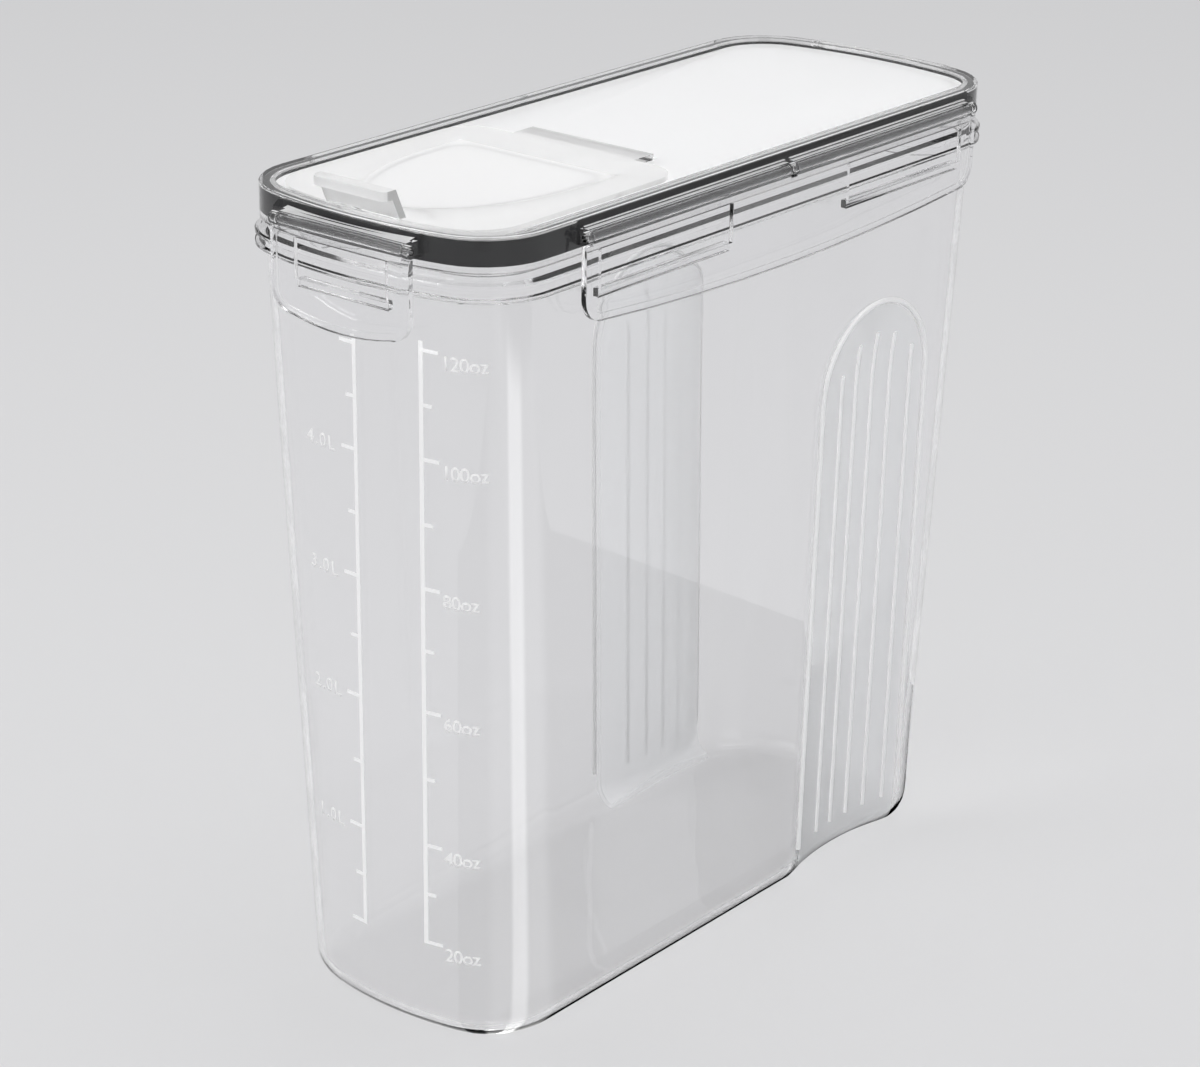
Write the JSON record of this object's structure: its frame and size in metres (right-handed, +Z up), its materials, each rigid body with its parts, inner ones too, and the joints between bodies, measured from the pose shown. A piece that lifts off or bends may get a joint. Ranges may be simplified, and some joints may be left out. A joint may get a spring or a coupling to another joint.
{
  "type": "cereal container",
  "caption": "Tall clear cereal keeper with tapering walls, sunk lid with flip pour spout, dark gasket, hinged side and end latches, and scooped hand grips.",
  "frame": {"origin": "middle of the base, on the surface that the container stands on", "axes": "+Z up; the pour spout and the printed scales face -Y, so +Y runs towards the hand grips and the back; +X is to the right seen from the front"},
  "size_m": [0.1012, 0.2462, 0.246],
  "materials": {
    "clear_tub": "crystal clear moulded plastic, polished",
    "clear_lid": "crystal clear moulded plastic, polished",
    "clear_flap": "clear moulded plastic, polished",
    "clear_latch": "clear moulded plastic, polished",
    "clear_pin": "clear plastic rod",
    "dark_gasket": "satin silicone",
    "pale_seal": "translucent silicone",
    "white_ink": "printed ink"
  },
  "bodies": {
    "container": {"tub": "clear_tub", "litre_scale": "white_ink", "ounce_scale": "white_ink"},
    "lid": {"lid": "clear_lid", "lid_gasket": "dark_gasket", "flap_pin": "clear_pin", "pin_front": "clear_pin", "pin_back": "clear_pin", "pin_left": "clear_pin", "pin_right": "clear_pin"},
    "flap": {"spout_flap": "clear_flap", "spout_seal": "pale_seal"},
    "front_latch": {"latch_front": "clear_latch"},
    "back_latch": {"latch_back": "clear_latch"},
    "left_latch": {"latch_left": "clear_latch"},
    "right_latch": {"latch_right": "clear_latch"}
  },
  "joints": [
    {"name": "lid_lift", "type": "slide", "parent": "container", "child": "lid", "axis": [0, 0, 1], "range_m": [0, 0.02]},
    {"name": "flap_hinge", "type": "hinge", "parent": "lid", "child": "flap", "pos_m": [0, -0.0222, 0.2352], "axis": [-1, 0, 0], "range_deg": [0, 110]},
    {"name": "front_latch_swing", "type": "hinge", "parent": "lid", "child": "front_latch", "pos_m": [0, -0.1214, 0.2332], "axis": [-1, 0, 0], "range_deg": [0, 135]},
    {"name": "back_latch_swing", "type": "hinge", "parent": "lid", "child": "back_latch", "pos_m": [0, 0.1214, 0.2332], "axis": [1, 0, 0], "range_deg": [0, 135]},
    {"name": "left_latch_swing", "type": "hinge", "parent": "lid", "child": "left_latch", "pos_m": [-0.0489, 0.006, 0.2332], "axis": [0, 1, 0], "range_deg": [0, 135]},
    {"name": "right_latch_swing", "type": "hinge", "parent": "lid", "child": "right_latch", "pos_m": [0.0489, 0.006, 0.2332], "axis": [0, -1, 0], "range_deg": [0, 135]}
  ],
  "couplings": [
    {"joint": "front_latch_swing", "follows": "lid_lift", "rad_per_m": 117.8},
    {"joint": "back_latch_swing", "follows": "lid_lift", "rad_per_m": 117.8},
    {"joint": "left_latch_swing", "follows": "lid_lift", "rad_per_m": 117.8},
    {"joint": "right_latch_swing", "follows": "lid_lift", "rad_per_m": 117.8}
  ]
}
